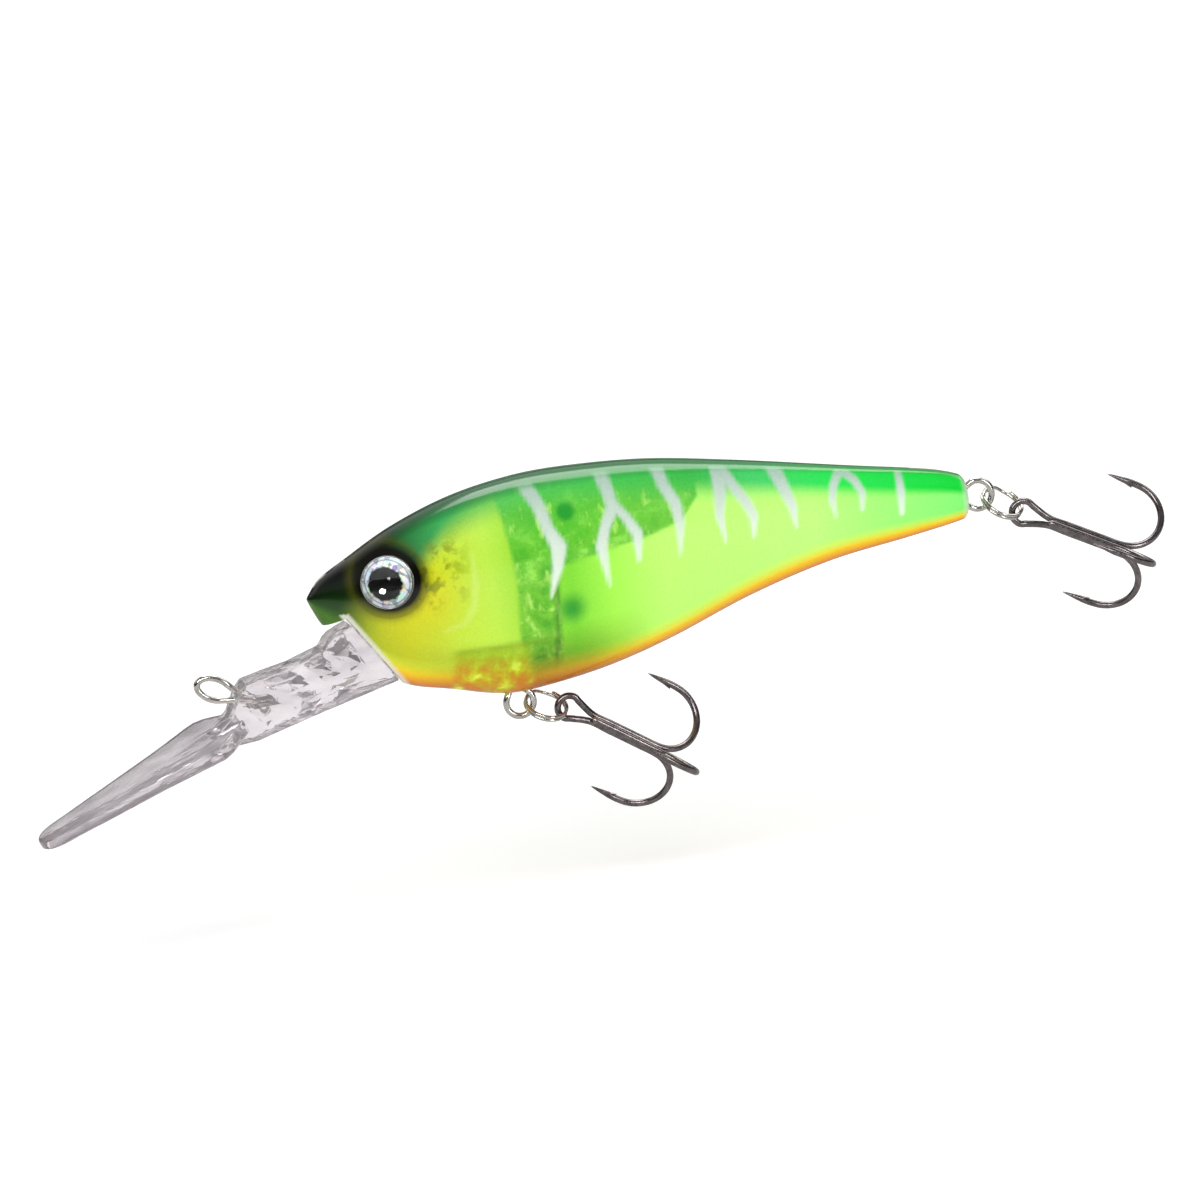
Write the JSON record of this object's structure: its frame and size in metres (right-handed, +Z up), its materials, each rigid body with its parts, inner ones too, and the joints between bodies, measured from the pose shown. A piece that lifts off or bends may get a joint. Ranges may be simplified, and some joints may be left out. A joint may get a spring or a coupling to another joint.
{
  "type": "crankbait lure",
  "caption": "Deep-diving fish-shaped crankbait: hollow two-part body with sliding ballast, clear diving lip with a line eye, and treble hooks hung on split rings.",
  "frame": {"origin": "centre of the whole lure's bounding box, hooks and lip included", "axes": "+X from the nose to the tail, +Y to the fish's right side, +Z up through the back; the seam plane is parallel to XZ"},
  "size_m": [0.1716, 0.0246, 0.053],
  "materials": {
    "body_plastic": "clear-coated translucent plastic, painted green over chartreuse",
    "clear_lip": "clear polished polycarbonate",
    "stainless_wire": "bright drawn stainless wire",
    "hook_wire": "dark nickel-plated hook wire",
    "eye_foil": "holographic silver foil with a black pupil",
    "eye_lens": "clear domed resin",
    "lead": "dull cast lead",
    "ball_steel": "polished ball"
  },
  "bodies": {
    "hull": {"body_left": "body_plastic", "body_right": "body_plastic", "diving_lip": "clear_lip", "line_tie": "stainless_wire", "belly_hanger": "stainless_wire", "tail_hanger": "stainless_wire", "left_eye_foil": "eye_foil", "right_eye_foil": "eye_foil", "left_eye_lens": "eye_lens", "right_eye_lens": "eye_lens", "front_keel_slug": "lead", "rear_keel_slug": "lead"},
    "belly_ring": {"belly_split_ring": "stainless_wire"},
    "belly_hook": {"belly_hook_double": "hook_wire", "belly_hook_single": "hook_wire"},
    "tail_ring": {"tail_split_ring": "stainless_wire"},
    "tail_hook": {"tail_hook_double": "hook_wire", "tail_hook_single": "hook_wire"},
    "top_ball": {"transfer_ball_top": "ball_steel"},
    "middle_ball": {"transfer_ball_middle": "ball_steel"},
    "bottom_ball": {"transfer_ball_bottom": "ball_steel"}
  },
  "joints": [
    {"name": "belly_ring_swing", "type": "hinge", "parent": "hull", "child": "belly_ring", "pos_m": [-0.01287, 0.0018, -0.00715], "axis": [0, 1, 0], "range_deg": [-5, 110]},
    {"name": "belly_hook_sway", "type": "hinge", "parent": "belly_ring", "child": "belly_hook", "pos_m": [-0.0091, 0.0018, -0.00821], "axis": [0.2343, -0.5, 0.8337], "range_deg": [-60, 60]},
    {"name": "tail_ring_swing", "type": "hinge", "parent": "hull", "child": "tail_ring", "pos_m": [0.05839, 0.0018, 0.01288], "axis": [0, 1, 0], "range_deg": [-110, 60]},
    {"name": "tail_hook_sway", "type": "hinge", "parent": "tail_ring", "child": "tail_hook", "pos_m": [0.06188, 0.0018, 0.0111], "axis": [0.3932, -0.5, 0.7716], "range_deg": [-60, 60]},
    {"name": "ballast_run", "type": "slide", "parent": "hull", "child": "top_ball", "axis": [0.967, 0, 0.2549], "range_m": [0, 0.024]},
    {"name": "middle_ball_rise", "type": "slide", "parent": "hull", "child": "middle_ball", "axis": [0, 0, 1], "range_m": [0, 0.0042]},
    {"name": "bottom_ball_rise", "type": "slide", "parent": "hull", "child": "bottom_ball", "axis": [0, 0, 1], "range_m": [0, 0.0042]}
  ],
  "couplings": [
    {"joint": "middle_ball_rise", "follows": "ballast_run", "ratio": 0.175},
    {"joint": "bottom_ball_rise", "follows": "ballast_run", "ratio": 0.175}
  ]
}
